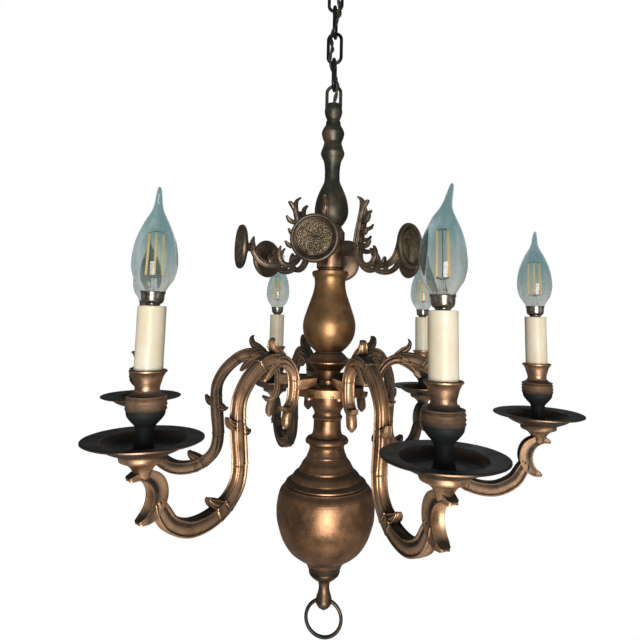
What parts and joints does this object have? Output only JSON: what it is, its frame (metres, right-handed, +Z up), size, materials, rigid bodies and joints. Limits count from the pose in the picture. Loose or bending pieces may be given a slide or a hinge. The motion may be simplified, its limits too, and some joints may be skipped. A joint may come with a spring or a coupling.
{
  "type": "multi arm chandelier",
  "caption": "Traditional cast brass chandelier with scrolled arms, drip pans, candle sleeves and flame bulbs, hung on a chain from a ceiling canopy.",
  "frame": {"origin": "centre of the ceiling bar's top face, against the ceiling", "axes": "+Z up, into the ceiling; -Y the front, which one reflector faces; +X along the ceiling bar"},
  "size_m": [0.538, 0.478, 0.8197],
  "materials": {
    "cast_brass": "aged, satin, darker in the hollows",
    "dark_brass": "dark patina, satin",
    "chain_brass": "blackened, satin",
    "steel": "zinc plated",
    "cord_sheath": "satin sheath",
    "candle_sleeve": "cream, slightly uneven",
    "socket_body": "moulded",
    "lamp_base": "nickel plated",
    "lamp_glass": "clear, faintly tinted"
  },
  "bodies": {
    "ceiling_fitting": {"canopy": "dark_brass", "ceiling_bar": "steel", "canopy_loop": "dark_brass", "supply_cord": "cord_sheath"},
    "link_1": {"chain_link_1": "chain_brass"},
    "link_2": {"chain_link_2": "chain_brass"},
    "link_3": {"chain_link_3": "chain_brass"},
    "link_4": {"chain_link_4": "chain_brass"},
    "fixture": {"hanger_loop": "cast_brass", "upper_baluster": "cast_brass", "reflector_hub": "cast_brass", "reflector_brackets": "dark_brass", "reflectors": "dark_brass", "vase": "cast_brass", "arm_cap": "cast_brass", "arm_plate": "cast_brass", "arm_screws": "cast_brass", "drum": "cast_brass", "ball": "cast_brass", "finial": "cast_brass", "column_tube": "steel", "candle_nipples": "steel", "sockets": "socket_body", "arm_1": "cast_brass", "arm_2": "cast_brass", "arm_3": "cast_brass", "arm_4": "cast_brass", "arm_5": "cast_brass", "arm_6": "cast_brass", "drip_pan_1": "dark_brass", "drip_pan_2": "dark_brass", "drip_pan_3": "dark_brass", "drip_pan_4": "dark_brass", "drip_pan_5": "dark_brass", "drip_pan_6": "dark_brass", "candle_cup_1": "dark_brass", "candle_cup_2": "dark_brass", "candle_cup_3": "dark_brass", "candle_cup_4": "dark_brass", "candle_cup_5": "dark_brass", "candle_cup_6": "dark_brass", "sleeve_1": "candle_sleeve", "sleeve_2": "candle_sleeve", "sleeve_3": "candle_sleeve", "sleeve_4": "candle_sleeve", "sleeve_5": "candle_sleeve", "sleeve_6": "candle_sleeve"},
    "ring": {"pull_ring": "cast_brass"},
    "bulb_1": {"bulb_base_1": "lamp_base", "bulb_glass_1": "lamp_glass"},
    "bulb_2": {"bulb_base_2": "lamp_base", "bulb_glass_2": "lamp_glass"},
    "bulb_3": {"bulb_base_3": "lamp_base", "bulb_glass_3": "lamp_glass"},
    "bulb_4": {"bulb_base_4": "lamp_base", "bulb_glass_4": "lamp_glass"},
    "bulb_5": {"bulb_base_5": "lamp_base", "bulb_glass_5": "lamp_glass"},
    "bulb_6": {"bulb_base_6": "lamp_base", "bulb_glass_6": "lamp_glass"}
  },
  "joints": [
    {"name": "link_1_swing", "type": "hinge", "parent": "ceiling_fitting", "child": "link_1", "pos_m": [0, 0, -0.071], "axis": [0, 1, 0], "range_deg": [-20, 20], "deforming": ["supply_cord"]},
    {"name": "link_2_swing", "type": "hinge", "parent": "link_1", "child": "link_2", "pos_m": [0, 0, -0.1048], "axis": [1, 0, 0], "range_deg": [-20, 20], "deforming": ["supply_cord"]},
    {"name": "link_3_swing", "type": "hinge", "parent": "link_2", "child": "link_3", "pos_m": [0, 0, -0.1386], "axis": [0, 1, 0], "range_deg": [-20, 20], "deforming": ["supply_cord"]},
    {"name": "link_4_swing", "type": "hinge", "parent": "link_3", "child": "link_4", "pos_m": [0, 0, -0.1724], "axis": [1, 0, 0], "range_deg": [-20, 20], "deforming": ["supply_cord"]},
    {"name": "fixture_swing", "type": "hinge", "parent": "link_4", "child": "fixture", "pos_m": [0, 0, -0.2062], "axis": [0, 1, 0], "range_deg": [-20, 20], "deforming": ["supply_cord"]},
    {"name": "ring_swing", "type": "hinge", "parent": "fixture", "child": "ring", "pos_m": [0, 0, -0.7807], "axis": [1, 0, 0], "range_deg": [-90, 90]},
    {"name": "bulb_1_out", "type": "slide", "parent": "fixture", "child": "bulb_1", "axis": [0, 0, 1], "range_m": [0, 0.03]},
    {"name": "bulb_2_out", "type": "slide", "parent": "fixture", "child": "bulb_2", "axis": [0, 0, 1], "range_m": [0, 0.03]},
    {"name": "bulb_3_out", "type": "slide", "parent": "fixture", "child": "bulb_3", "axis": [0, 0, 1], "range_m": [0, 0.03]},
    {"name": "bulb_4_out", "type": "slide", "parent": "fixture", "child": "bulb_4", "axis": [0, 0, 1], "range_m": [0, 0.03]},
    {"name": "bulb_5_out", "type": "slide", "parent": "fixture", "child": "bulb_5", "axis": [0, 0, 1], "range_m": [0, 0.03]},
    {"name": "bulb_6_out", "type": "slide", "parent": "fixture", "child": "bulb_6", "axis": [0, 0, 1], "range_m": [0, 0.03]}
  ]
}
